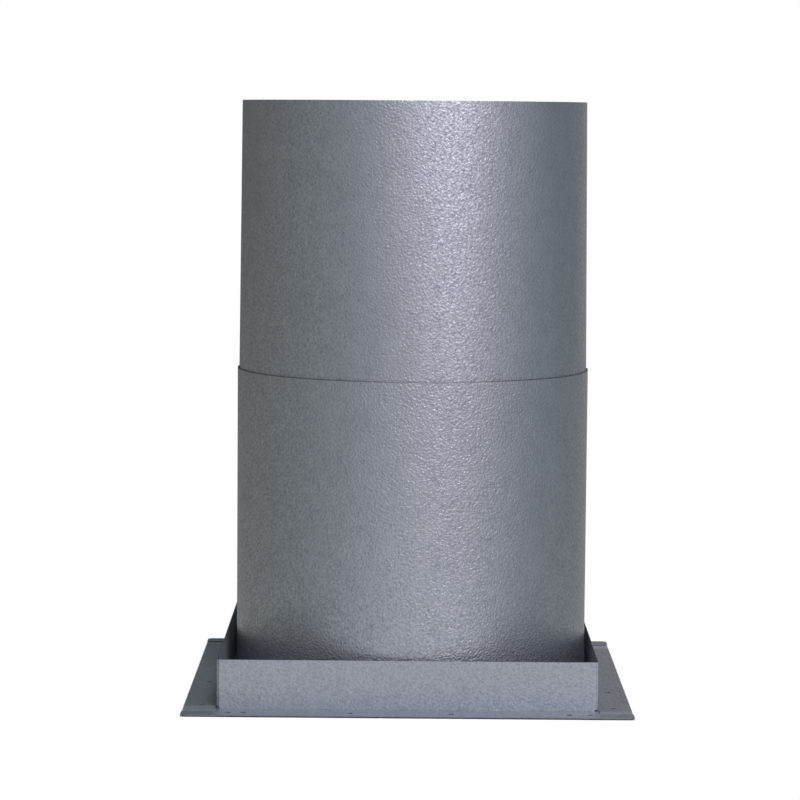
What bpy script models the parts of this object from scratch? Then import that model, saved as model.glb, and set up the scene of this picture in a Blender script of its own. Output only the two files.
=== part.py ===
"""Firestop radiation shield of galvanised sheet, in metres with +Z up.

A square base of four folded angles carries a firestop plate with the chimney pipe's hole. A rolled
sleeve stands on the plate, and a second, slightly tapered sleeve telescopes in it. The origin is the
centre of the base at the surface that it stands on, and -Y is the front.
"""
import math

import bmesh
import bpy
from mathutils import Matrix, Vector

# Chimney pipe that the shield is made for, and the air space round it
PIPE_DIAMETER = 0.2032
PIPE_CLEARANCE = 0.003
AIR_SPACE = 0.04295

# Square base
SLEEVE_ROOM = 0.0048
COLLAR_HEIGHT = 0.0398
FLANGE_WIDTH = 0.02735
BASE_SHEET = 0.0007
FOLD_RADIUS = 0.0004
FLANGE_CORNER_RADIUS = 0.004
RIM_CORNER_RADIUS = 0.001

# Corners of the base
LAP_LENGTH = 0.018
LAP_CORNER_RADIUS = 0.003
PLAIN_END_INSET = 0.0016
RELIEF = 0.0012
CORNER_TAB_DEPTH = 0.0162
NECK_OVERHANG = 0.0005
SLIT = 0.001
SHORT_RAMP = 0.0113
LONG_RAMP = 0.0222
JOGGLE_TAB_INSET = 0.0015
SIDE_EDGE_INSET = 0.0005

# Nail holes, as distances from the left end of each side, or from its right end where negative
NAIL_HOLE_DIAMETER = 0.0042
NAIL_HOLE_SEGMENTS = 20
NAIL_LINE = 0.0158
SIDE_NAIL_LINE = 0.0125
LONG_FLANGE_NAILS = (0.0372, 0.0492, 0.1330, -0.1435, -0.0508, -0.0346)
LEFT_FLANGE_NAILS = (-0.1430, -0.0433)
RIGHT_FLANGE_NAILS = (0.0395, 0.1096)

# Firestop plate
PLATE_SHEET = 0.0007
PLATE_INSET = 0.002
TONGUE_NAIL_GAP = 0.0004
TONGUE_RAMP_GAP = 0.0093
PLATE_HOLE_SEGMENTS = 120

# Sleeves
SLEEVE_SHEET = 0.0006
SLEEVE_LENGTH = 0.260
UPPER_SLEEVE_TAPER = 0.0047
SLIP_CLEARANCE = 0.0004
SLEEVE_OVERLAP = 0.040
SLEEVE_OFFSET = 0.0024
LAP_SEAM_GAP = 0.00015
SLEEVE_SEGMENTS = 120
SEAM_SEGMENTS = 2
FOOT_TABS = 12
FOOT_GAP_SEGMENTS = 3
FOOT_TAB_LENGTH = 0.012
FOOT_RISE = 0.004

# Gap between sheets that lie on one another
LAYER_GAP = 0.0003

# Sizes that follow from the ones above
LOWER_SLEEVE_DIAMETER = PIPE_DIAMETER + (AIR_SPACE + SLEEVE_SHEET) * 2
UPPER_SLEEVE_FOOT_DIAMETER = LOWER_SLEEVE_DIAMETER - (SLEEVE_SHEET + SLIP_CLEARANCE) * 2
UPPER_SLEEVE_TOP_DIAMETER = UPPER_SLEEVE_FOOT_DIAMETER - UPPER_SLEEVE_TAPER
COLLAR_SIDE = LOWER_SLEEVE_DIAMETER + (SLEEVE_ROOM + BASE_SHEET) * 2
TONGUE_REACH = SIDE_NAIL_LINE - NAIL_HOLE_DIAMETER / 2 - TONGUE_NAIL_GAP

# Heights, radii and half widths, measured from the centre of the base
FLANGE_UNDERSIDE = PLATE_SHEET + LAYER_GAP
FLANGE_TOP = FLANGE_UNDERSIDE + BASE_SHEET
COLLAR_RIM = FLANGE_UNDERSIDE + COLLAR_HEIGHT
JOGGLE_DROP = BASE_SHEET + LAYER_GAP
SLEEVE_FOOT = PLATE_SHEET + LAYER_GAP
HALF_COLLAR = COLLAR_SIDE / 2
HALF_FLANGE = HALF_COLLAR + FLANGE_WIDTH
CORNER_TAB_BACK = HALF_FLANGE - CORNER_TAB_DEPTH
RAMP_FOOT = CORNER_TAB_BACK - LAYER_GAP
RAMP_HEAD = RAMP_FOOT - LONG_RAMP
TONGUE_LENGTH = (RAMP_HEAD - TONGUE_RAMP_GAP) * 2
LAP_FOLD_X = -HALF_COLLAR + BASE_SHEET + LAYER_GAP
PLAIN_END_X = HALF_COLLAR - PLAIN_END_INSET
LOWER_RADIUS = LOWER_SLEEVE_DIAMETER / 2
UPPER_FOOT_RADIUS = UPPER_SLEEVE_FOOT_DIAMETER / 2
UPPER_TOP_RADIUS = UPPER_SLEEVE_TOP_DIAMETER / 2
UPPER_FOOT_HEIGHT = SLEEVE_FOOT + SLEEVE_LENGTH - SLEEVE_OVERLAP

FRONT, RIGHT, BACK, LEFT = 0, math.pi / 2, math.pi, -math.pi / 2
FOLD_ANGLE = math.radians(30)
ARC_SEGMENTS = 5


def clear_scene():
    for item in list(bpy.data.objects):
        bpy.data.objects.remove(item)


def new_collection(name):
    collection = bpy.data.collections.new(name)
    bpy.context.scene.collection.children.link(collection)
    return collection


def zinc(name, colour, roughness):
    """A zinc-coated sheet's material."""
    material = bpy.data.materials.new(name)
    material.use_nodes = True
    shader = material.node_tree.nodes["Principled BSDF"]
    shader.inputs["Base Color"].default_value = (*colour, 1)
    shader.inputs["Metallic"].default_value = 1
    shader.inputs["Roughness"].default_value = roughness
    return material


def leaf(bm, edge, *offset):
    """Grow a flat leaf from an edge, and return its far edge and its sides in order of x."""
    grown = bmesh.ops.extrude_edge_only(bm, edges=[edge])["geom"]
    far = next(item for item in grown if isinstance(item, bmesh.types.BMEdge))
    bmesh.ops.translate(bm, verts=far.verts, vec=offset)
    sides = [side for side in far.link_faces[0].edges if side not in (edge, far)]
    sides.sort(key=lambda side: side.verts[0].co.x + side.verts[1].co.x)
    return far, sides[0], sides[1]


def face_outwards(bm, toward):
    """Turn all the faces of a sheet so that its outer side looks the given way at the first face."""
    bmesh.ops.recalc_face_normals(bm, faces=bm.faces)
    bm.faces.ensure_lookup_table()
    first = bm.faces[0]
    if first.normal.dot(toward(first.calc_center_median())) < 0:
        bmesh.ops.reverse_faces(bm, faces=bm.faces)


def round_folds(bm, sheet):
    """Give each fold its radius: the outer side bulges by one sheet more than it is hollow."""
    folds = [edge for edge in bm.edges if edge.calc_face_angle(0) > FOLD_ANGLE]
    bulging = [edge for edge in folds if edge.is_convex]
    hollow = [edge for edge in folds if not edge.is_convex]
    for edges, radius in ((bulging, FOLD_RADIUS + sheet), (hollow, FOLD_RADIUS)):
        if edges:
            bmesh.ops.bevel(
                bm, geom=edges, offset=radius, offset_type="OFFSET", segments=ARC_SEGMENTS,
                profile=0.5, affect="EDGES", material=-1, clamp_overlap=False)


def round_corners(bm, radius, chosen):
    """Round the corners of the sheet's outline that the test picks."""
    corners = [vert for vert in bm.verts if len(vert.link_edges) == 2 and chosen(vert.co)]
    bmesh.ops.bevel(
        bm, geom=corners, offset=radius, offset_type="OFFSET", segments=ARC_SEGMENTS,
        profile=0.5, affect="VERTICES", material=-1, clamp_overlap=False)


def sheet_object(name, bm, thickness, material, collection):
    """Make the sheet's outer surface an object, with its thickness behind it."""
    mesh = bpy.data.meshes.new(name)
    bm.to_mesh(mesh)
    bm.free()
    mesh.materials.append(material)
    mesh.shade_smooth()
    mesh.set_sharp_from_angle(angle=FOLD_ANGLE)
    item = bpy.data.objects.new(name, mesh)
    collection.objects.link(item)
    solidify = item.modifiers.new("sheet", "SOLIDIFY")
    solidify.thickness = thickness
    solidify.offset = -1
    solidify.use_even_offset = True
    return item


def folded_wall(bm, fold, left_end, right_end):
    """Fold a collar wall up from the flange's fold, with the lap tab at its left end."""
    foot, _, _ = leaf(bm, fold, 0, 0, RELIEF)
    _, left, right = leaf(bm, foot, 0, 0, COLLAR_RIM - FLANGE_TOP - RELIEF)
    lap_fold, _, _ = leaf(bm, left, LAP_FOLD_X - left_end, 0, 0)
    leaf(bm, lap_fold, 0, LAP_LENGTH, 0)
    leaf(bm, right, PLAIN_END_X - right_end, 0, 0)


def long_flange(bm, fold, left_end, right_end):
    """Fold out the full-width flange, whose tabs lie over the corners of the base."""
    neck_end = HALF_COLLAR + NECK_OVERHANG
    near, _, _ = leaf(bm, fold, 0, -RELIEF, 0)
    line, neck_left, neck_right = leaf(bm, near, 0, HALF_COLLAR + RELIEF - CORNER_TAB_BACK, 0)
    _, outer_left, outer_right = leaf(bm, line, 0, -CORNER_TAB_DEPTH, 0)
    for side in (neck_left, outer_left):
        end, _, _ = leaf(bm, side, -neck_end - left_end, 0, 0)
    leaf(bm, end, neck_end - HALF_FLANGE, 0, 0)
    for side in (neck_right, outer_right):
        end, _, _ = leaf(bm, side, neck_end - right_end, 0, 0)
    leaf(bm, end, HALF_FLANGE - neck_end, 0, 0)


def joggled_flange(bm, fold, left_end, right_end):
    """Fold out the side flange, whose ends ramp down and pass under the corner tabs."""
    tab_end = HALF_FLANGE - JOGGLE_TAB_INSET
    near, _, _ = leaf(bm, fold, 0, -SLIT, 0)
    _, left, right = leaf(bm, near, 0, SLIT + SIDE_EDGE_INSET - FLANGE_WIDTH, 0)
    level, _, _ = leaf(bm, left, SHORT_RAMP - RAMP_FOOT - left_end, 0, 0)
    foot, _, _ = leaf(bm, level, -SHORT_RAMP, 0, -JOGGLE_DROP)
    leaf(bm, foot, RAMP_FOOT - tab_end, 0, 0)
    foot, _, _ = leaf(bm, right, LONG_RAMP, 0, -JOGGLE_DROP)
    leaf(bm, foot, tab_end - right_end - LONG_RAMP, 0, 0)


def base_angle(name, turn, flange, right_end, nails, nail_line, material, parts, cutters):
    """One side of the base, modelled as the front one and turned into its place."""
    left_end = LAP_FOLD_X + RELIEF
    bm = bmesh.new()
    ends = [bm.verts.new((x, -HALF_COLLAR, FLANGE_TOP)) for x in (left_end, right_end)]
    fold = bm.edges.new(ends)
    folded_wall(bm, fold, left_end, right_end)
    flange(bm, fold, left_end, right_end)
    bmesh.ops.remove_doubles(bm, verts=bm.verts, dist=1e-6)
    face_outwards(bm, lambda place: Vector((0, -1, 0)))
    round_folds(bm, BASE_SHEET)
    round_corners(bm, FLANGE_CORNER_RADIUS, lambda co: co.y < SIDE_EDGE_INSET * 2 - HALF_FLANGE)
    round_corners(bm, LAP_CORNER_RADIUS, lambda co: co.y > LAP_LENGTH / 2 - HALF_COLLAR)
    round_corners(bm, RIM_CORNER_RADIUS, lambda co: co.z > COLLAR_RIM - RELIEF and co.x > 0)
    angle = sheet_object(name, bm, BASE_SHEET, material, parts)
    angle.rotation_euler.z = turn

    holes = nail_cutter(name + "_nail_holes", nails, nail_line, cutters)
    holes.rotation_euler.z = turn
    punch = angle.modifiers.new("nail holes", "BOOLEAN")
    punch.operation = "DIFFERENCE"
    punch.object = holes


def nail_cutter(name, nails, nail_line, cutters):
    """Punches for one flange's row of nail holes."""
    bm = bmesh.new()
    radius = NAIL_HOLE_DIAMETER / 2
    for distance in nails:
        x = distance - HALF_FLANGE if distance > 0 else distance + HALF_FLANGE
        place = Matrix.Translation((x, -HALF_COLLAR - nail_line, FLANGE_UNDERSIDE))
        bmesh.ops.create_cone(
            bm, cap_ends=True, segments=NAIL_HOLE_SEGMENTS, radius1=radius, radius2=radius,
            depth=FLANGE_UNDERSIDE * 4, matrix=place)
    mesh = bpy.data.meshes.new(name)
    bm.to_mesh(mesh)
    bm.free()
    item = bpy.data.objects.new(name, mesh)
    item.hide_render = True
    item.display_type = "WIRE"
    cutters.objects.link(item)
    return item


def plate_outline():
    """Corners of the firestop plate, whose tongues lie under the four flanges."""
    body = HALF_COLLAR - PLATE_INSET
    reach = HALF_COLLAR + TONGUE_REACH
    half_tongue = TONGUE_LENGTH / 2
    quarter = [(-half_tongue, -body), (-half_tongue, -reach), (half_tongue, -reach), (half_tongue, -body),
               (body, -body)]
    outline = []
    for turn in (FRONT, RIGHT, BACK, LEFT):
        outline += [Matrix.Rotation(turn, 2) @ Vector(point) for point in quarter]
    return outline


def pipe_hole():
    radius = (PIPE_DIAMETER + PIPE_CLEARANCE * 2) / 2
    step = math.tau / PLATE_HOLE_SEGMENTS
    return [Vector((math.cos(i * step), math.sin(i * step))) * radius for i in range(PLATE_HOLE_SEGMENTS)]


def firestop_plate(material, parts):
    """The flat plate that closes the ring between the chimney pipe and the sleeve."""
    curve = bpy.data.curves.new("firestop_plate", "CURVE")
    curve.dimensions = "2D"
    curve.fill_mode = "BOTH"
    curve.extrude = PLATE_SHEET / 2
    for points in (plate_outline(), pipe_hole()):
        spline = curve.splines.new("POLY")
        spline.points.add(len(points) - 1)
        for target, point in zip(spline.points, points):
            target.co = (*point, 0, 1)
        spline.use_cyclic_u = True
    outline = bpy.data.objects.new("plate_outline", curve)
    outline.location.z = PLATE_SHEET / 2
    parts.objects.link(outline)
    graph = bpy.context.evaluated_depsgraph_get()
    mesh = bpy.data.meshes.new_from_object(outline.evaluated_get(graph))
    bm = bmesh.new()
    bm.from_mesh(mesh)
    bmesh.ops.remove_doubles(bm, verts=bm.verts, dist=1e-6)
    bmesh.ops.recalc_face_normals(bm, faces=bm.faces)
    bm.to_mesh(mesh)
    bm.free()
    mesh.materials.clear()
    mesh.materials.append(material)
    plate = bpy.data.objects.new("firestop_plate", mesh)
    plate.matrix_world = outline.matrix_world
    parts.objects.link(plate)
    bpy.data.objects.remove(outline)
    return plate


def rolled_path(radius, lap_step):
    """Points round a rolled sheet's outer side, from the seam at the back and a little past it."""
    step = math.tau / SLEEVE_SEGMENTS
    start = math.pi / 2 - step * SEAM_SEGMENTS / 2
    path = []
    for i in range(SLEEVE_SEGMENTS + SEAM_SEGMENTS + 1):
        reach = radius if i < SLEEVE_SEGMENTS else radius + lap_step
        path.append(Vector((math.cos(start + i * step), math.sin(start + i * step), 0)) * reach)
    return path


def rolled_edges(bm, path, height):
    verts = [bm.verts.new((point.x, point.y, height)) for point in path]
    return [bm.edges.new(pair) for pair in zip(verts, verts[1:])]


def extrude_ring(bm, edges, move):
    """Extrude a run of edges, move its new points with the given function and return its new edges."""
    grown = bmesh.ops.extrude_edge_only(bm, edges=edges)["geom"]
    for item in grown:
        if isinstance(item, bmesh.types.BMVert):
            item.co = move(item.co)
    return [item for item in grown if isinstance(item, bmesh.types.BMEdge)]


def away_from_axis(place):
    return Vector((place.x, place.y, 0))


def lower_sleeve(material, parts):
    """The rolled sleeve on the base, with foot tabs folded inwards onto the plate."""
    path = rolled_path(LOWER_RADIUS, SLEEVE_SHEET + LAP_SEAM_GAP)
    bm = bmesh.new()
    ring = rolled_edges(bm, path, SLEEVE_FOOT + FOOT_RISE)
    extrude_ring(bm, ring, lambda co: Vector((co.x, co.y, SLEEVE_FOOT + SLEEVE_LENGTH)))
    pitch = SLEEVE_SEGMENTS // FOOT_TABS
    tab_width = pitch - FOOT_GAP_SEGMENTS
    inner = 1 - FOOT_TAB_LENGTH / LOWER_RADIUS
    for tab in range(FOOT_TABS):
        first = tab * pitch + SEAM_SEGMENTS
        span = ring[first:first + tab_width]
        fold = extrude_ring(bm, span, lambda co: Vector((co.x, co.y, SLEEVE_FOOT)))
        extrude_ring(bm, fold, lambda co: Vector((co.x * inner, co.y * inner, co.z)))
    face_outwards(bm, away_from_axis)
    round_folds(bm, SLEEVE_SHEET)
    sleeve = sheet_object("lower_sleeve", bm, SLEEVE_SHEET, material, parts)
    sleeve.location.x = SLEEVE_OFFSET
    return sleeve


def upper_sleeve(material, parts):
    """The telescoping sleeve, whose lap lies inwards so that its outside slides freely."""
    path = rolled_path(UPPER_FOOT_RADIUS, -SLEEVE_SHEET - LAP_SEAM_GAP)
    taper = UPPER_TOP_RADIUS / UPPER_FOOT_RADIUS
    bm = bmesh.new()
    ring = rolled_edges(bm, path, 0)
    extrude_ring(bm, ring, lambda co: Vector((co.x * taper, co.y * taper, SLEEVE_LENGTH)))
    face_outwards(bm, away_from_axis)
    sleeve = sheet_object("upper_sleeve", bm, SLEEVE_SHEET, material, parts)
    sleeve.location = (SLEEVE_OFFSET, 0, UPPER_FOOT_HEIGHT)
    return sleeve


def main():
    clear_scene()
    parts = new_collection("firestop_radiation_shield")
    cutters = new_collection("cutters")
    long_end = PLAIN_END_X - RELIEF
    angles = (
        ("base_front_angle", FRONT, long_flange, long_end, LONG_FLANGE_NAILS, NAIL_LINE),
        ("base_right_angle", RIGHT, joggled_flange, RAMP_HEAD, RIGHT_FLANGE_NAILS, SIDE_NAIL_LINE),
        ("base_back_angle", BACK, long_flange, long_end, LONG_FLANGE_NAILS, NAIL_LINE),
        ("base_left_angle", LEFT, joggled_flange, RAMP_HEAD, LEFT_FLANGE_NAILS, SIDE_NAIL_LINE),
    )
    for name, turn, flange, right_end, nails, nail_line in angles:
        material = zinc(name, (0.50, 0.51, 0.53), 0.42)
        base_angle(name, turn, flange, right_end, nails, nail_line, material, parts, cutters)
    firestop_plate(zinc("firestop_plate", (0.46, 0.47, 0.49), 0.45), parts)
    lower_sleeve(zinc("lower_sleeve", (0.43, 0.46, 0.50), 0.38), parts)
    upper_sleeve(zinc("upper_sleeve", (0.42, 0.45, 0.49), 0.38), parts)


main()
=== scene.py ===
"""Galvanised firestop radiation shield, dressed for its picture. Metres, +Z up, -Y is the front."""
import math

import bmesh
import bpy
from mathutils import Matrix, Vector


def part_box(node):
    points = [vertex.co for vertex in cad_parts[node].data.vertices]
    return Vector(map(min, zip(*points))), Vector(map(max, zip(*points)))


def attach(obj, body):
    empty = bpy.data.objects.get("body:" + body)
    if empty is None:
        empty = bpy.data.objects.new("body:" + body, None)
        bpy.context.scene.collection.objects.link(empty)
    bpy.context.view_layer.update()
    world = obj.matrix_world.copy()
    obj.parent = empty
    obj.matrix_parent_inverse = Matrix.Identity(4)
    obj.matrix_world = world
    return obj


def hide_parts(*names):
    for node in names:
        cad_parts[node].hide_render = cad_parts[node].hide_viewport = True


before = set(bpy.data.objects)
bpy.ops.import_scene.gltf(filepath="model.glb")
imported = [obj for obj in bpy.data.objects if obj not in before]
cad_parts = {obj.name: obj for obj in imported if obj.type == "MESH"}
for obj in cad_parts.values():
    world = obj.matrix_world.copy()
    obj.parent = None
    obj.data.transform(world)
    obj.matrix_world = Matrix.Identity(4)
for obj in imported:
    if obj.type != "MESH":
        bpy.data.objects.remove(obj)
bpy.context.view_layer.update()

bl_info = {
    "name": "Firestop radiation shield",
    "version": (1, 0, 0),
    "blender": (4, 5, 0),
    "location": "3D View > Sidebar > Shield",
    "description": "Dresses the base, the firestop plate and the sleeves of a radiation shield",
    "category": "Object",
}

ANGLES = ("base_front_angle", "base_right_angle", "base_back_angle", "base_left_angle")
SMOOTH_ANGLE = math.radians(32)
CUT_ANGLE = math.radians(60)
FLAT_ANGLE = math.radians(0.5)
# Points closer than this are one point: on the CAD's facets, and on the sheet's finished corners
FACET_GAP = 1e-6
MERGED = 1e-5

# Places in a piece's list of materials
ZINC, SHEARED_EDGE_AND_RIM_SHADE, PAINTED_FOLD_SHADE, PAINTED_RAMP_HIGHLIGHT = range(4)

# A cut face is narrower than this, and at least this share of its outline is sharp
CUT_WIDTH = 0.00045
CUT_SHARE = 0.4
# A cut face taller than this is a wall's upright end
UPRIGHT_END = 0.02
# How far a face's normal is upright, for a fold, a joggle ramp and a level flange
FOLD_START, RAMP_START, LEVEL_START = 0.1, 0.99, 0.9995

# A spot weld: grid lines to each side, the pressed patch's half width, the raised ring's place,
# width and height, all in weld radii or depths, and how squarely a face has to lie to be pressed
WELD_LINES = 7
WELD_REACH = 1.5
RING_PLACE, RING_WIDTH, RING_HEIGHT = 1.1, 0.18, 0.25
WELD_FACING = 0.8
# Where the welds through the corner tabs stand, from the middle of the base
CORNER_WELD_X, CORNER_WELD_Y = 0.1665, 0.1700
# How far round a weld the seam's outer side is looked for, up and across
SEAM_ABOVE, SEAM_ACROSS = 0.012, 0.004

# Strength of the zinc's light and dark specks, and depth of its grain, on each sheet
BASE_MOTTLE = 0.9
LOWER_MOTTLE, LOWER_RELIEF = 1.4, 1.9
UPPER_MOTTLE, UPPER_RELIEF = 1.6, 1.35
# Waves to the metre of the zinc's clouds, 17 mm apart, and of the shear's streaks, 0.8 mm apart.
# Real shear streaks are finer than the picture can show, so they are drawn one pixel wide.
CLOUD_WAVES = 60
STREAK_WAVES = 1200


def linear(code):
    """An sRGB hex colour in linear light, with full opacity."""
    parts = [int(code[i:i + 2], 16) / 255 for i in (1, 3, 5)]
    return (*(p / 12.92 if p <= 0.04045 else ((p + 0.055) / 1.055) ** 2.4 for p in parts), 1)


# Properties

def length(name, description, default):
    return bpy.props.FloatProperty(
        name=name, description=description, default=default, min=0, precision=5,
        subtype="DISTANCE", unit="LENGTH")


def colour(name, description, default):
    return bpy.props.FloatVectorProperty(
        name=name, description=description, default=linear(default), size=4, min=0, max=1,
        subtype="COLOR")


class ShieldSheet(bpy.types.PropertyGroup):
    sleeve_thickness: length("Sleeve sheet", "Thickness of the rolled sleeves", 0.0006)
    base_thickness: length("Base sheet", "Thickness of the folded base", 0.0007)
    lap_step: length("Lap step", "How far a sleeve's lap stands off the sheet beneath it", 0.00075)
    foot_rise: length("Foot rise", "Height of the notches between the sleeve's foot tabs", 0.004)
    foot_tab: length("Foot tab", "Length of the foot tabs folded inwards", 0.012)
    fold_radius: length("Fold radius", "Outer radius of the foot tabs' fold", 0.0014)
    taper: length("Taper", "How much narrower the upper sleeve's top is than its foot", 0.0047)
    edge_radius: length("Edge radius", "Rounding of the cut edges", 0.00015)
    base_edge_radius: length("Base edge radius", "Rounding of the base's cut edges", 0.0001)
    # The band along the lower sleeve's rim is painted shade where the upper sleeve meets it
    rim_painted_shade_band: length("Rim shade band", "Width of the band of painted shade along the lower sleeve's rim", 0.0006)
    weld_radius: length("Weld radius", "Radius of a spot weld's mark", 0.0026)
    weld_depth: length("Weld depth", "Depth of a spot weld's mark", 0.0003)
    weld_pitch: length("Weld pitch", "Distance between the welds of a sleeve's seam", 0.05)


class ShieldFinish(bpy.types.PropertyGroup):
    zinc_light: colour("Zinc, light", "Lighter tone of the zinc coating", "#9CA2AA")
    zinc_dark: colour("Zinc, dark", "Darker tone of the zinc coating", "#858B93")
    edge_light: colour("Cut edge, light", "Lighter tone of the sheared steel", "#7C8085")
    edge_dark: colour("Cut edge, dark", "Darker tone of the sheared steel", "#54585D")
    # Pebbles and specks are two to three pixels of the picture wide, so that they show. The photo
    # can't say how fine the real ones are
    grain_size: length("Grain size", "Size of the pebbles of the zinc's grain", 0.0018)
    grain_depth: length("Grain depth", "Height of the pebbles of the zinc's grain", 0.00026)
    speck_size: length("Speck size", "Size of the light and dark specks of the zinc", 0.0021)
    gloss_change: bpy.props.FloatProperty(
        name="Gloss change", description="How much the roughness differs from speck to speck",
        default=0.12, min=0, max=1, subtype="FACTOR")
    # The folds' tone paints shade into the creases
    fold_painted_shade: bpy.props.FloatProperty(
        name="Fold painted shade", description="Painted shade in the folds, as a tone against the flat sheet",
        default=0.5, min=0)
    # The ramps' tone is a painted highlight on the joggle ramps
    ramp_painted_highlight: bpy.props.FloatProperty(
        name="Ramp painted highlight", description="Painted highlight on the joggle ramps, as a tone against the flat sheet",
        default=1.45, min=0)
    roughness: bpy.props.FloatProperty(
        name="Roughness", description="Roughness of the zinc coating", default=0.54, min=0, max=1,
        subtype="FACTOR")


class ShieldStage(bpy.types.PropertyGroup):
    camera_place: bpy.props.FloatVectorProperty(
        name="Camera place", description="Where the camera stands",
        default=(-0.0053, -2.5614, 0.4700), subtype="XYZ", unit="LENGTH")
    camera_pitch: bpy.props.FloatProperty(
        name="Pitch", description="How far the camera looks down", default=math.radians(5.273),
        subtype="ANGLE", unit="ROTATION")
    camera_roll: bpy.props.FloatProperty(
        name="Roll", description="How far the camera leans to its left",
        default=math.radians(0.456), subtype="ANGLE", unit="ROTATION")
    camera_turn: bpy.props.FloatProperty(
        name="Turn", description="How far the camera is turned to its left",
        default=math.radians(0.060), subtype="ANGLE", unit="ROTATION")
    lens: bpy.props.FloatProperty(
        name="Lens", description="Focal length on a sensor 36 mm wide", default=139.23,
        subtype="DISTANCE_CAMERA")
    key_power: bpy.props.FloatProperty(
        name="Key power", description="Power of the high soft box, just right of the camera",
        default=80, unit="POWER")
    key_colour: colour("Key colour", "Colour of the high soft box", "#FCFAFF")
    fill_power: bpy.props.FloatProperty(
        name="Fill power", description="Power of the low soft box, further right", default=11.5,
        unit="POWER")
    fill_colour: colour("Fill colour", "Colour of the low soft box", "#FFF0F9")
    floor_colour: colour("Studio floor", "Tone of the floor round the white table", "#BCBEB8")
    ceiling_colour: colour("Studio ceiling", "Tone of the ceiling and the upper walls", "#303535")


# Materials

def add(tree, kind, links=(), values=(), **settings):
    """Add a node, set its properties, fill its inputs and link them from other nodes' sockets."""
    node = tree.nodes.new(kind)
    for name, value in settings.items():
        setattr(node, name, value)
    for name, value in dict(values).items():
        node.inputs[name].default_value = value
    for name, socket in dict(links).items():
        tree.links.new(socket, node.inputs[name])
    return node


def new_material(name):
    material = bpy.data.materials.new(name)
    material.use_nodes = True
    return material, material.node_tree, material.node_tree.nodes["Principled BSDF"]


def blended(amount, first, second):
    return [a + (b - a) * amount for a, b in zip(first, second)]


def zinc_sheet(name, finish, mottle, shade=1, relief=1):
    """Galvanised steel sheet, dipped in molten zinc and then temper rolled to an even grain.

    The rolls leave fine pebbles, which break the broad soft highlight into light and dark specks.
    Cloudy patches of zinc, a fingertip wide, change its tone a little.
    """
    material, tree, shader = new_material(name)
    place = add(tree, "ShaderNodeTexCoord").outputs["Object"]
    pebble = add(tree, "ShaderNodeTexNoise", {"Vector": place},
                 {"Scale": 1 / finish.grain_size, "Detail": 1, "Roughness": 0.5})
    speck = add(tree, "ShaderNodeTexNoise", {"Vector": place},
                {"Scale": 1 / finish.speck_size, "Detail": 1, "Roughness": 0.5})
    cloud = add(tree, "ShaderNodeTexNoise", {"Vector": place},
                {"Scale": CLOUD_WAVES, "Detail": 3, "Roughness": 0.6})
    # A quarter of the clouds on top of the specks
    patch = add(tree, "ShaderNodeMath", {0: cloud.outputs["Fac"], 2: speck.outputs["Fac"]},
                {1: 0.25}, operation="MULTIPLY_ADD")
    tone = add(tree, "ShaderNodeMapRange", {"Value": patch.outputs[0]},
               {"From Min": 0.375, "From Max": 0.875})
    middle = blended(0.5, finish.zinc_dark, finish.zinc_light)
    mix = add(tree, "ShaderNodeMix", {"Factor": tone.outputs[0]}, data_type="RGBA")
    for side, end in (("A", finish.zinc_dark), ("B", finish.zinc_light)):
        tint = blended(mottle, middle, end)[:3]
        # shade scales the tones: painted shade in the folds, a painted highlight on the ramps
        mix.inputs[side].default_value = (*(shade * part for part in tint), 1)
    gloss = add(tree, "ShaderNodeMapRange", {"Value": speck.outputs["Fac"]},
                {"From Min": 0.3, "From Max": 0.7,
                 "To Min": finish.roughness + finish.gloss_change,
                 "To Max": finish.roughness - finish.gloss_change})
    bump = add(tree, "ShaderNodeBump", {"Height": pebble.outputs["Fac"]},
               {"Strength": 1, "Distance": finish.grain_depth * relief})
    tree.links.new(mix.outputs["Result"], shader.inputs["Base Color"])
    tree.links.new(gloss.outputs[0], shader.inputs["Roughness"])
    tree.links.new(bump.outputs[0], shader.inputs["Normal"])
    shader.inputs["Metallic"].default_value = 1
    return material


def sheared_edge(finish):
    """Bare mild steel along the cut edges, torn by the shear and left as it broke.

    It has no zinc, so it looks greyer, darker and duller than the sheet beside it. It also paints
    shade along the lower sleeve's rim, where the upper sleeve meets it.
    """
    material, tree, shader = new_material("sheared_steel_edge_and_rim_shade")
    place = add(tree, "ShaderNodeTexCoord").outputs["Object"]
    streak = add(tree, "ShaderNodeTexNoise", {"Vector": place},
                 {"Scale": STREAK_WAVES, "Detail": 2, "Roughness": 0.6})
    mix = add(tree, "ShaderNodeMix", {"Factor": streak.outputs["Fac"]}, data_type="RGBA")
    mix.inputs["A"].default_value = finish.edge_dark
    mix.inputs["B"].default_value = finish.edge_light
    tree.links.new(mix.outputs["Result"], shader.inputs["Base Color"])
    shader.inputs["Metallic"].default_value = 1
    shader.inputs["Roughness"].default_value = 0.5
    return material


# Sheet metal

def points_of(geometry):
    return [item for item in geometry if isinstance(item, bmesh.types.BMVert)]


def finish_piece(name, bm, materials, body, node):
    """Make the bmesh a smooth-shaded piece that rides on its body and stands for the CAD node."""
    # Faces with many corners are split here, which leaves fewer slivers in the mesh
    bmesh.ops.dissolve_degenerate(bm, dist=MERGED, edges=bm.edges)
    crowded = [face for face in bm.faces if len(face.verts) > 4]
    bmesh.ops.triangulate(bm, faces=crowded, quad_method="BEAUTY", ngon_method="BEAUTY")
    mesh = bpy.data.meshes.new(name)
    bm.to_mesh(mesh)
    bm.free()
    for material in materials:
        mesh.materials.append(material)
    mesh.shade_smooth()
    mesh.set_sharp_from_angle(angle=SMOOTH_ANGLE)
    piece = bpy.data.objects.new(name, mesh)
    bpy.context.scene.collection.objects.link(piece)
    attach(piece, body)
    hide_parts(node)
    return piece


def keep_flats(piece):
    """Shade flat faces flat although the folds beside them are smooth."""
    weighted = piece.modifiers.new("flat faces stay flat", "WEIGHTED_NORMAL")
    weighted.keep_sharp = True


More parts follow.
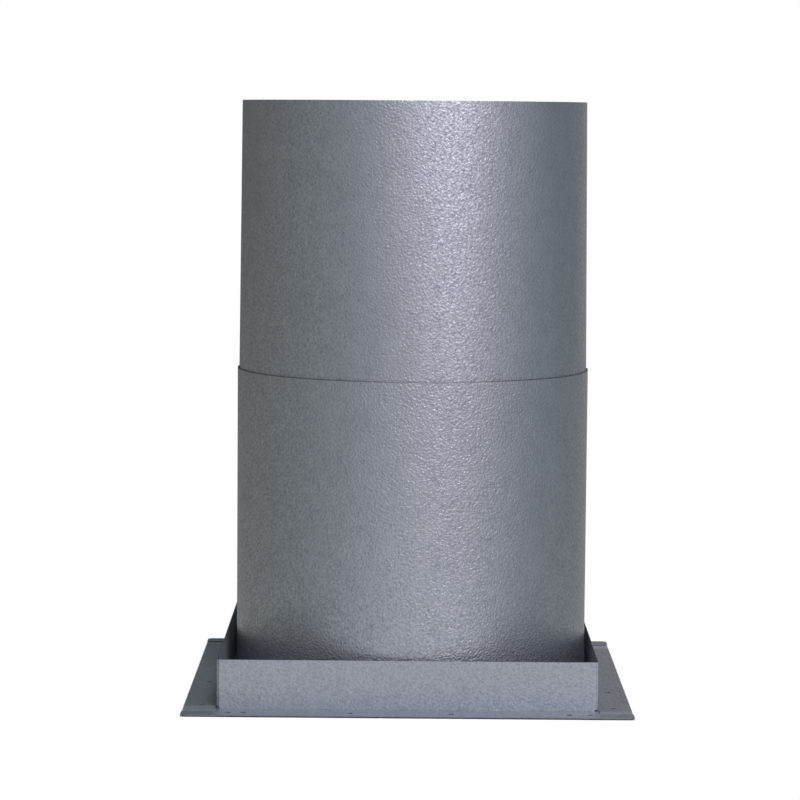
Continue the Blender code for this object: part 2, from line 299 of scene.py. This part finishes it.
def press_weld(bm, centre, normal, sheet):
    """Press a spot weld's round mark into the sheet round a point."""
    side = normal.orthogonal().normalized()
    across = normal.cross(side)
    radius = sheet.weld_radius
    reach = radius * WELD_REACH
    faces = []
    for face in bm.faces:
        offsets = [vert.co - centre for vert in face.verts]
        depth = min(abs(offset.dot(normal)) for offset in offsets)
        if abs(face.normal.dot(normal)) < WELD_FACING or depth > radius / 2:
            continue
        spans = [[offset.dot(way) for offset in offsets] for way in (side, across)]
        if all(min(span) < reach and max(span) > -reach for span in spans):
            faces.append(face)
    geometry = list({item for face in faces for item in (face, *face.edges, *face.verts)})
    for way in (side, across):
        for i in range(-WELD_LINES, WELD_LINES + 1):
            cut = bmesh.ops.bisect_plane(
                bm, geom=geometry, dist=FACET_GAP,
                plane_co=centre + way * (reach * i / WELD_LINES), plane_no=way)
            geometry = cut["geom"]
    for vert in points_of(geometry):
        offset = vert.co - centre
        height = offset.dot(normal)
        distance = (offset - normal * height).length / radius
        if distance < WELD_REACH and abs(height) < radius:
            ring = RING_HEIGHT * math.exp(-((distance - RING_PLACE) / RING_WIDTH) ** 2)
            bowl = (1 - distance ** 2) ** 2 if distance < 1 else 0
            vert.co += normal * sheet.weld_depth * (ring - bowl)


def dressed_copy(node, edge_radius):
    """A merged copy of a CAD node's mesh, with whole flat faces and rounded cut edges."""
    bm = bmesh.new()
    bm.from_mesh(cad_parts[node].data)
    bmesh.ops.remove_doubles(bm, verts=bm.verts, dist=FACET_GAP)
    bmesh.ops.dissolve_limit(bm, angle_limit=FLAT_ANGLE, verts=bm.verts, edges=bm.edges)
    sharp = {edge for edge in bm.edges if edge.calc_face_angle(0) > CUT_ANGLE}
    for face in bm.faces:
        outline = sum(edge.calc_length() for edge in face.edges)
        cut = sum(edge.calc_length() for edge in face.edges if edge in sharp)
        level = abs(face.normal.z)
        heights = [vert.co.z for vert in face.verts]
        if face.calc_area() < outline * CUT_WIDTH and cut > outline * CUT_SHARE:
            # The shear drew zinc over the walls' upright ends
            tall = max(heights) - min(heights) > UPRIGHT_END
            face.material_index = ZINC if tall else SHEARED_EDGE_AND_RIM_SHADE
        # Fold faces take a darker copy of the zinc: painted shade in the creases
        elif FOLD_START < level < RAMP_START:
            face.material_index = PAINTED_FOLD_SHADE
        # Joggle ramps take a lighter copy of the zinc: a painted highlight on the ramps
        elif RAMP_START < level < LEVEL_START:
            face.material_index = PAINTED_RAMP_HIGHLIGHT
    bmesh.ops.bevel(
        bm, geom=list(sharp), offset=edge_radius, offset_type="OFFSET", segments=2, profile=0.5,
        affect="EDGES", material=SHEARED_EDGE_AND_RIM_SHADE, clamp_overlap=False)
    return bm


# Faces round a sleeve and up it, how many of those round it the lap and the step onto it take,
# and the tabs round the lower sleeve's foot with the gap between two of them
SLEEVE_STEPS = 360
SLEEVE_ROWS = 24
SEAM_STEPS = 6
RAMP_STEPS = 3
FOOT_TABS = 12
FOOT_GAP_STEPS = 9
STEP = math.tau / SLEEVE_STEPS
SEAM_START = math.pi / 2 - STEP * SEAM_STEPS / 2


def rolled_sheet(low, high, heights, lap_step):
    """Roll a sheet's outer side into a tube or cone whose ends lap over each other at the back."""
    bm = bmesh.new()
    verts = []
    for height in heights:
        along = (height - heights[0]) / (heights[-1] - heights[0])
        radius = low + (high - low) * along
        place = (math.cos(SEAM_START) * radius, math.sin(SEAM_START) * radius, height)
        verts.append(bm.verts.new(place))
    line = verts + [bm.edges.new(pair) for pair in zip(verts, verts[1:])]

    def spin(geometry, steps):
        made = bmesh.ops.spin(
            bm, geom=geometry, cent=(0, 0, 0), axis=(0, 0, 1), angle=STEP * steps, steps=steps,
            use_merge=False, use_duplicate=False)
        return made["geom_last"]

    line = spin(line, SLEEVE_STEPS - RAMP_STEPS)
    for _ in range(RAMP_STEPS):
        line = spin(line, 1)
        for vert in points_of(line):
            flat = Vector((vert.co.x, vert.co.y, 0))
            vert.co += flat.normalized() * (lap_step / RAMP_STEPS)
    spin(line, SEAM_STEPS)
    return bm


def outwards(bm):
    """Turn the sheet's outer side away from the sleeve's axis."""
    bmesh.ops.recalc_face_normals(bm, faces=bm.faces)
    bm.faces.ensure_lookup_table()
    first = bm.faces[0]
    middle = first.calc_center_median()
    if first.normal.x * middle.x + first.normal.y * middle.y < 0:
        bmesh.ops.reverse_faces(bm, faces=bm.faces)


def foot_tabs(bm, foot, sheet):
    """Fold the tabs of the lower sleeve's notched foot inwards."""
    pitch = SLEEVE_STEPS // FOOT_TABS
    low = min(vert.co.z for vert in bm.verts)
    bottom = {}
    for edge in bm.edges:
        if all(vert.co.z < low + FACET_GAP for vert in edge.verts):
            middle = (edge.verts[0].co + edge.verts[1].co) / 2
            turn = (math.atan2(middle.y, middle.x) - SEAM_START) % math.tau
            bottom.setdefault(int(turn / STEP), edge)
    radius = max(vert.co.x for vert in bm.verts)
    folds = []
    for tab in range(FOOT_TABS):
        first = tab * pitch + SEAM_STEPS
        span = [bottom[i] for i in range(first, first + pitch - FOOT_GAP_STEPS)]
        for height, ratio in ((foot, 1), (foot, 1 - sheet.foot_tab / radius)):
            grown = bmesh.ops.extrude_edge_only(bm, edges=span)["geom"]
            for vert in points_of(grown):
                vert.co = (vert.co.x * ratio, vert.co.y * ratio, height)
            span = [item for item in grown if isinstance(item, bmesh.types.BMEdge)]
            if ratio == 1:
                folds += span
    outwards(bm)
    bmesh.ops.bevel(
        bm, geom=folds, offset=sheet.fold_radius, offset_type="OFFSET", segments=5, profile=0.5,
        affect="EDGES", material=-1, clamp_overlap=False)


def sleeve_heights(low, high, band, rows):
    """Heights of a sleeve's rows of faces, with a narrow row along its rim."""
    top = high - band
    return [low + (top - low) * i / rows for i in range(rows + 1)] + [high]


def thicken(piece, thickness, edge_radius):
    """Give the sheet its thickness inwards, with rounded cut edges of sheared steel."""
    solidify = piece.modifiers.new("sheet", "SOLIDIFY")
    solidify.thickness = thickness
    solidify.offset = -1
    solidify.use_even_offset = True
    solidify.material_offset_rim = SHEARED_EDGE_AND_RIM_SHADE
    # Points that the thickness brings together become one, so that the rounding is sound there
    merge = piece.modifiers.new("points that meet", "WELD")
    merge.merge_threshold = MERGED
    bevel = piece.modifiers.new("cut edges", "BEVEL")
    bevel.width = edge_radius
    bevel.use_clamp_overlap = False
    bevel.segments = 2
    bevel.limit_method = "ANGLE"
    bevel.angle_limit = CUT_ANGLE


def make_sleeve(node, body, taper, rise, lap_step, materials, sheet):
    """Roll a sleeve where its CAD node is, weld its seam and fold the tabs of a notched foot."""
    low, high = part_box(node)
    centre = (low.x + high.x) / 2
    foot = (high.x - low.x) / 2
    top = foot - taper / 2
    heights = sleeve_heights(low.z + rise, high.z, sheet.rim_painted_shade_band, SLEEVE_ROWS)
    bm = rolled_sheet(foot, top, heights, lap_step)
    outwards(bm)
    backwards = Vector((0, 1, 0))
    first = low.z + rise + sheet.weld_pitch / 2
    count = int((high.z - first) / sheet.weld_pitch) + 1
    for i in range(count):
        height = first + i * sheet.weld_pitch
        radius = max(vert.co.y for vert in bm.verts
                     if abs(vert.co.z - height) < SEAM_ABOVE and abs(vert.co.x) < SEAM_ACROSS)
        press_weld(bm, Vector((0, radius, height)), backwards, sheet)
    # The lower sleeve's outer face along its rim takes the cut edges' darker colour: painted shade
    # where the upper sleeve meets it
    for face in bm.faces:
        near_rim = face.calc_center_median().z > high.z - sheet.rim_painted_shade_band
        face.material_index = SHEARED_EDGE_AND_RIM_SHADE if near_rim and rise else ZINC
    if rise:
        foot_tabs(bm, low.z, sheet)
    bmesh.ops.translate(bm, verts=bm.verts, vec=(centre, 0, 0))
    piece = finish_piece(node + "_sheet", bm, materials, body, node)
    thicken(piece, sheet.sleeve_thickness, sheet.edge_radius)
    keep_flats(piece)


class SHIELD_OT_sleeves(bpy.types.Operator):
    """Roll the lower and the upper sleeve, with their lap seams, welds and foot tabs"""
    bl_idname = "shield.sleeves"
    bl_label = "Sleeves"

    def execute(self, context):
        sheet, finish = context.scene.shield_sheet, context.scene.shield_finish
        edge = sheared_edge(finish)
        for node, body, taper, rise, lap, mottle, relief in (
                ("lower_sleeve", "base", 0, sheet.foot_rise, sheet.lap_step,
                 LOWER_MOTTLE, LOWER_RELIEF),
                ("upper_sleeve", "extension", sheet.taper, 0, -sheet.lap_step,
                 UPPER_MOTTLE, UPPER_RELIEF)):
            zinc = zinc_sheet(node + "_galvanised_steel", finish, mottle, relief=relief)
            make_sleeve(node, body, taper, rise, lap, (zinc, edge), sheet)
        return {"FINISHED"}


def flange_top(sheet):
    """Height of the flanges' upper side."""
    low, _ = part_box("base_front_angle")
    return low.z + sheet.base_thickness


class SHIELD_OT_base(bpy.types.Operator):
    """Dress the four folded angles of the base, with rounded cut edges and weld marks"""
    bl_idname = "shield.base"
    bl_label = "Base"

    def execute(self, context):
        sheet, finish = context.scene.shield_sheet, context.scene.shield_finish
        # The zinc is darker in the folds, as painted shade in the creases, and lighter on the
        # joggle ramps, as a painted highlight
        materials = (
            zinc_sheet("base_galvanised_steel", finish, BASE_MOTTLE),
            sheared_edge(finish),
            zinc_sheet("galvanised_steel_painted_fold_shade", finish, BASE_MOTTLE, finish.fold_painted_shade),
            zinc_sheet("galvanised_steel_painted_ramp_highlight", finish, BASE_MOTTLE, finish.ramp_painted_highlight))
        for node in ANGLES:
            bm = dressed_copy(node, sheet.base_edge_radius)
            if node in ("base_front_angle", "base_back_angle"):
                front = -1 if node == "base_front_angle" else 1
                for side in (-1, 1):
                    place = Vector((side * CORNER_WELD_X, front * CORNER_WELD_Y, flange_top(sheet)))
                    press_weld(bm, place, Vector((0, 0, 1)), sheet)
            piece = finish_piece(node + "_sheet", bm, materials, "base", node)
            keep_flats(piece)
        return {"FINISHED"}


class SHIELD_OT_plate(bpy.types.Operator):
    """Dress the firestop plate"""
    bl_idname = "shield.plate"
    bl_label = "Firestop plate"

    def execute(self, context):
        sheet, finish = context.scene.shield_sheet, context.scene.shield_finish
        materials = (
            zinc_sheet("plate_galvanised_steel", finish, BASE_MOTTLE), sheared_edge(finish))
        bm = dressed_copy("firestop_plate", sheet.edge_radius)
        piece = finish_piece(
            "firestop_plate_sheet", bm, materials, "base", "firestop_plate")
        keep_flats(piece)
        return {"FINISHED"}


# Stage

TABLE_HALF_WIDTH = 0.24
TABLE_FRONT, TABLE_BACK = -0.65, 0.205
# The table's glow begins at the flange's edge, so that it stays dark under the base
GLOW_START, GLOW_FULL = 0.1778, 0.1790
GLOW_SHARE, GLOW_STRENGTH = 0.9, 1.08
STUDIO_RADIUS = 2.2
STUDIO_HEIGHT = 2.6
STUDIO_FLOOR = -0.03
# Heights between which the studio's floor passes into its wall, and the wall into the ceiling
FLOOR_FADE = 0, 0.02
CEILING_FADE = 1.2, 1.8
# How far off the soft boxes stand, and the height on the object that they are aimed at
LAMP_DISTANCE, LAMP_AIM = 1.9, 0.3
# Each soft box's size, its turn to the right of the front, and its height
KEY_BOX = 0.6, math.radians(10), 2.2
FILL_BOX = 0.7, math.radians(26), 0.9
# Tones of the studio wall from behind the object, round its left, its front and its right, and back
WALL_TONES = ("#808E92", "#828081", "#998988", "#9EA09B", "#BAC0BA", "#B8B4B7",
              "#B5A8B2", "#D2C8D2", "#D0D1DA", "#9BA6AD", "#798484", "#CBC9C8", "#CBCACB")


def seen_rays(tree):
    """A factor of one for the rays that show the surroundings: direct, mirrored or let through."""
    path = add(tree, "ShaderNodeLightPath")
    mirrored = add(tree, "ShaderNodeMath",
                   {0: path.outputs["Is Camera Ray"], 1: path.outputs["Is Glossy Ray"]},
                   operation="MAXIMUM")
    return add(tree, "ShaderNodeMath",
               {0: mirrored.outputs[0], 1: path.outputs["Is Transmission Ray"]},
               operation="MAXIMUM").outputs[0]


def white_table(material_name):
    """A white table top that keeps a faint shadow."""
    material, tree, shader = new_material(material_name)
    shader.inputs["Base Color"].default_value = linear("#E6E6E6")
    shader.inputs["Roughness"].default_value = 0.9
    shader.inputs["Specular IOR Level"].default_value = 0
    glow = add(tree, "ShaderNodeEmission", values={"Strength": GLOW_STRENGTH})
    place = add(tree, "ShaderNodeTexCoord").outputs["Object"]
    axes = add(tree, "ShaderNodeSeparateXYZ", {0: place})
    sides = [add(tree, "ShaderNodeMath", {0: axes.outputs[axis]}, operation="ABSOLUTE").outputs[0]
             for axis in "XY"]
    reach = add(tree, "ShaderNodeMath", dict(enumerate(sides)), operation="MAXIMUM")
    open_table = add(tree, "ShaderNodeMapRange", {"Value": reach.outputs[0]},
                     {"From Min": GLOW_START, "From Max": GLOW_FULL,
                      "To Min": 0, "To Max": GLOW_SHARE})
    share = add(tree, "ShaderNodeMath", {0: seen_rays(tree), 1: open_table.outputs[0]},
                operation="MULTIPLY")
    mix = add(tree, "ShaderNodeMixShader",
              {0: share.outputs[0], 1: shader.outputs[0], 2: glow.outputs[0]})
    tree.links.new(mix.outputs[0], tree.nodes["Material Output"].inputs["Surface"])
    return material


def studio_walls(stage):
    """Softly lit studio walls, whose tone changes round the object."""
    material, tree, shader = new_material("studio_walls")
    place = add(tree, "ShaderNodeTexCoord").outputs["Object"]
    axes = add(tree, "ShaderNodeSeparateXYZ", {0: place})
    back = add(tree, "ShaderNodeMath", {0: axes.outputs["Y"]}, {1: -1}, operation="MULTIPLY")
    turn = add(tree, "ShaderNodeMath", {0: axes.outputs["X"], 1: back.outputs[0]},
               operation="ARCTAN2")
    share = add(tree, "ShaderNodeMapRange", {"Value": turn.outputs[0]},
                {"From Min": -math.pi, "From Max": math.pi})
    ramp = add(tree, "ShaderNodeValToRGB", {"Fac": share.outputs[0]})
    while len(ramp.color_ramp.elements) < len(WALL_TONES):
        ramp.color_ramp.elements.new(0.5)
    for i, (element, tone) in enumerate(zip(ramp.color_ramp.elements, WALL_TONES)):
        element.position = i / (len(WALL_TONES) - 1)
        element.color = linear(tone)
    low = add(tree, "ShaderNodeMapRange", {"Value": axes.outputs["Z"]},
              {"From Min": FLOOR_FADE[0], "From Max": FLOOR_FADE[1]})
    above = add(tree, "ShaderNodeMix", {"Factor": low.outputs[0], "B": ramp.outputs["Color"]},
                data_type="RGBA")
    above.inputs["A"].default_value = stage.floor_colour
    high = add(tree, "ShaderNodeMapRange", {"Value": axes.outputs["Z"]},
               {"From Min": CEILING_FADE[0], "From Max": CEILING_FADE[1]})
    tone = add(tree, "ShaderNodeMix", {"Factor": high.outputs[0], "A": above.outputs["Result"]},
               data_type="RGBA")
    tone.inputs["B"].default_value = stage.ceiling_colour
    glow = add(tree, "ShaderNodeEmission", {"Color": tone.outputs["Result"]}, {"Strength": 1})
    tree.links.new(glow.outputs[0], tree.nodes["Material Output"].inputs["Surface"])
    tree.nodes.remove(shader)
    return material


def stage_object(name, bm, material):
    mesh = bpy.data.meshes.new(name)
    bm.to_mesh(mesh)
    bm.free()
    mesh.materials.append(material)
    item = bpy.data.objects.new(name, mesh)
    bpy.context.scene.collection.objects.link(item)
    return item


def studio_walls_mesh():
    """The studio's floor under the table, its wall and its ceiling, turned from one profile."""
    bm = bmesh.new()
    profile = ((0, STUDIO_FLOOR), (STUDIO_RADIUS, STUDIO_FLOOR), (STUDIO_RADIUS, STUDIO_HEIGHT),
               (0, STUDIO_HEIGHT))
    verts = [bm.verts.new((radius, 0, height)) for radius, height in profile]
    line = verts + [bm.edges.new(pair) for pair in zip(verts, verts[1:])]
    bmesh.ops.spin(bm, geom=line, cent=(0, 0, 0), axis=(0, 0, 1), angle=math.tau, steps=96,
                   use_merge=True, use_duplicate=False)
    return bm


def soft_box(name, power, tone, size, turn, height):
    """A square lamp at a turn to the right of the front, aimed at the middle of the object."""
    lamp = bpy.data.lights.new(name, "AREA")
    lamp.size = size
    lamp.energy = power
    lamp.color = tone[:3]
    box = bpy.data.objects.new(name, lamp)
    place = Vector((math.sin(turn) * LAMP_DISTANCE, -math.cos(turn) * LAMP_DISTANCE, height))
    aim = Vector((0, 0, LAMP_AIM)) - place
    box.matrix_world = Matrix.Translation(place) @ aim.to_track_quat("-Z", "Y").to_matrix().to_4x4()
    box.visible_camera = False
    bpy.context.scene.collection.objects.link(box)


class SHIELD_OT_stage(bpy.types.Operator):
    """Set the white table, the studio round it, the two soft boxes and the camera"""
    bl_idname = "shield.stage"
    bl_label = "Stage"

    def execute(self, context):
        scene, stage = context.scene, context.scene.shield_stage
        bm = bmesh.new()
        corners = [(x * TABLE_HALF_WIDTH, y, 0) for x, y in (
            (-1, TABLE_FRONT), (1, TABLE_FRONT), (1, TABLE_BACK), (-1, TABLE_BACK))]
        bm.faces.new([bm.verts.new(corner) for corner in corners])
        stage_object("table_top", bm, white_table("white_table_top"))
        walls = stage_object("studio", studio_walls_mesh(), studio_walls(stage))
        walls.visible_camera = False

        soft_box("key_soft_box", stage.key_power, stage.key_colour, *KEY_BOX)
        soft_box("fill_soft_box", stage.fill_power, stage.fill_colour, *FILL_BOX)

        world = bpy.data.worlds.new("white_room")
        world.use_nodes = True
        tree = world.node_tree
        plain = tree.nodes["Background"]
        plain.inputs["Color"].default_value = linear("#BCBCBC")
        white = add(tree, "ShaderNodeBackground",
                    values={"Color": linear("#FFFFFF"), "Strength": 1})
        mix = add(tree, "ShaderNodeMixShader",
                  {0: seen_rays(tree), 1: plain.outputs[0], 2: white.outputs[0]})
        tree.links.new(mix.outputs[0], tree.nodes["World Output"].inputs["Surface"])
        scene.world = world

        lens = bpy.data.cameras.new("camera")
        lens.sensor_width = 36
        lens.lens = stage.lens
        camera = bpy.data.objects.new("camera", lens)
        turned = Matrix.Rotation(stage.camera_turn, 4, "Z")
        pitched = Matrix.Rotation(math.pi / 2 - stage.camera_pitch, 4, "X")
        leaning = Matrix.Rotation(stage.camera_roll, 4, "Z")
        camera.matrix_world = Matrix.Translation(stage.camera_place) @ turned @ pitched @ leaning
        scene.collection.objects.link(camera)
        scene.camera = camera
        scene.view_settings.view_transform = "Standard"
        return {"FINISHED"}


class SHIELD_PT_panel(bpy.types.Panel):
    bl_idname = "SHIELD_PT_panel"
    bl_label = "Radiation shield"
    bl_space_type = "VIEW_3D"
    bl_region_type = "UI"
    bl_category = "Shield"

    def draw(self, context):
        layout = self.layout
        for operator in OPERATORS:
            layout.operator(operator.bl_idname)
        for name in GROUPS:
            group = getattr(context.scene, name)
            box = layout.box()
            for setting in group.__annotations__:
                box.prop(group, setting)


OPERATORS = (SHIELD_OT_sleeves, SHIELD_OT_base, SHIELD_OT_plate, SHIELD_OT_stage)
GROUPS = {"shield_sheet": ShieldSheet, "shield_finish": ShieldFinish, "shield_stage": ShieldStage}


def register():
    for item in (*GROUPS.values(), *OPERATORS, SHIELD_PT_panel):
        bpy.utils.register_class(item)
    for name, group in GROUPS.items():
        setattr(bpy.types.Scene, name, bpy.props.PointerProperty(type=group))


def unregister():
    for name in GROUPS:
        delattr(bpy.types.Scene, name)
    for item in reversed((*GROUPS.values(), *OPERATORS, SHIELD_PT_panel)):
        bpy.utils.unregister_class(item)


def main():
    register()
    bpy.ops.shield.sleeves()
    bpy.ops.shield.base()
    bpy.ops.shield.plate()
    bpy.ops.shield.stage()


if __name__ == "__main__":
    main()
